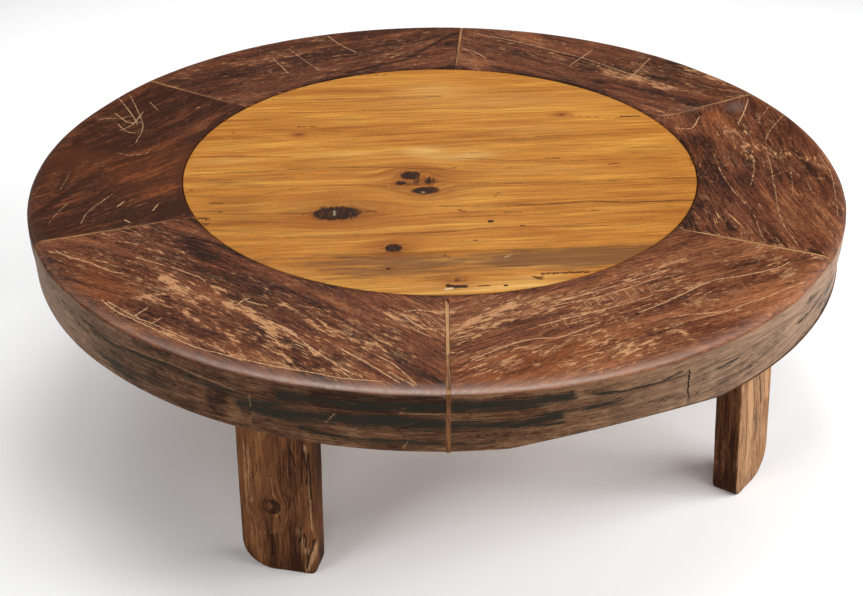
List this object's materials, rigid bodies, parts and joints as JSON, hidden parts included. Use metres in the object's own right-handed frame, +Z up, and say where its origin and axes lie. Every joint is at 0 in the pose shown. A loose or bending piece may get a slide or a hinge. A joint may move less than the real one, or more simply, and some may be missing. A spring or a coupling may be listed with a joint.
{
  "type": "round low table",
  "caption": "Low round table: a thick rim of dark felloes in two staggered layers round a boarded pine panel, standing on splayed plank legs.",
  "frame": {"origin": "on the floor, under the middle of the round rim", "axes": "+Z up, -Y towards the viewer at the front, +X to the viewer's right"},
  "size_m": [1.15, 1.15, 0.356],
  "materials": {
    "rim_wood": "dark red-brown stained hardwood, waxed, scratched and worn to tan",
    "slip_wood": "light tan hardwood strip, darkened by handling",
    "panel_pine": "golden orange pine with dark knots, thin satin wax",
    "batten_wood": "plain sawn wood, unfinished",
    "leg_wood": "mid brown stained wood, worn at the corners",
    "screw_steel": "plain steel, dulled"
  },
  "bodies": {
    "root": {"upper_felloe_1": "rim_wood", "upper_felloe_2": "rim_wood", "upper_felloe_3": "rim_wood", "upper_felloe_4": "rim_wood", "upper_felloe_5": "rim_wood", "upper_felloe_6": "rim_wood", "lower_felloe_1": "rim_wood", "lower_felloe_2": "rim_wood", "lower_felloe_3": "rim_wood", "lower_felloe_4": "rim_wood", "lower_felloe_5": "rim_wood", "lower_felloe_6": "rim_wood", "joint_slip_1": "slip_wood", "joint_slip_2": "slip_wood", "joint_slip_3": "slip_wood", "joint_slip_4": "slip_wood", "joint_slip_5": "slip_wood", "joint_slip_6": "slip_wood", "panel_board_1": "panel_pine", "panel_board_2": "panel_pine", "panel_board_3": "panel_pine", "panel_board_4": "panel_pine", "panel_board_5": "panel_pine", "panel_batten_1": "batten_wood", "panel_batten_2": "batten_wood", "leg_front_left": "leg_wood", "leg_front_right": "leg_wood", "leg_rear_right": "leg_wood", "leg_rear_left": "leg_wood", "tenon_wedge_1": "batten_wood", "tenon_wedge_2": "batten_wood", "tenon_wedge_3": "batten_wood", "tenon_wedge_4": "batten_wood", "rim_screws": "screw_steel", "ledge_screws": "screw_steel", "batten_screws": "screw_steel"}
  },
  "joints": []
}
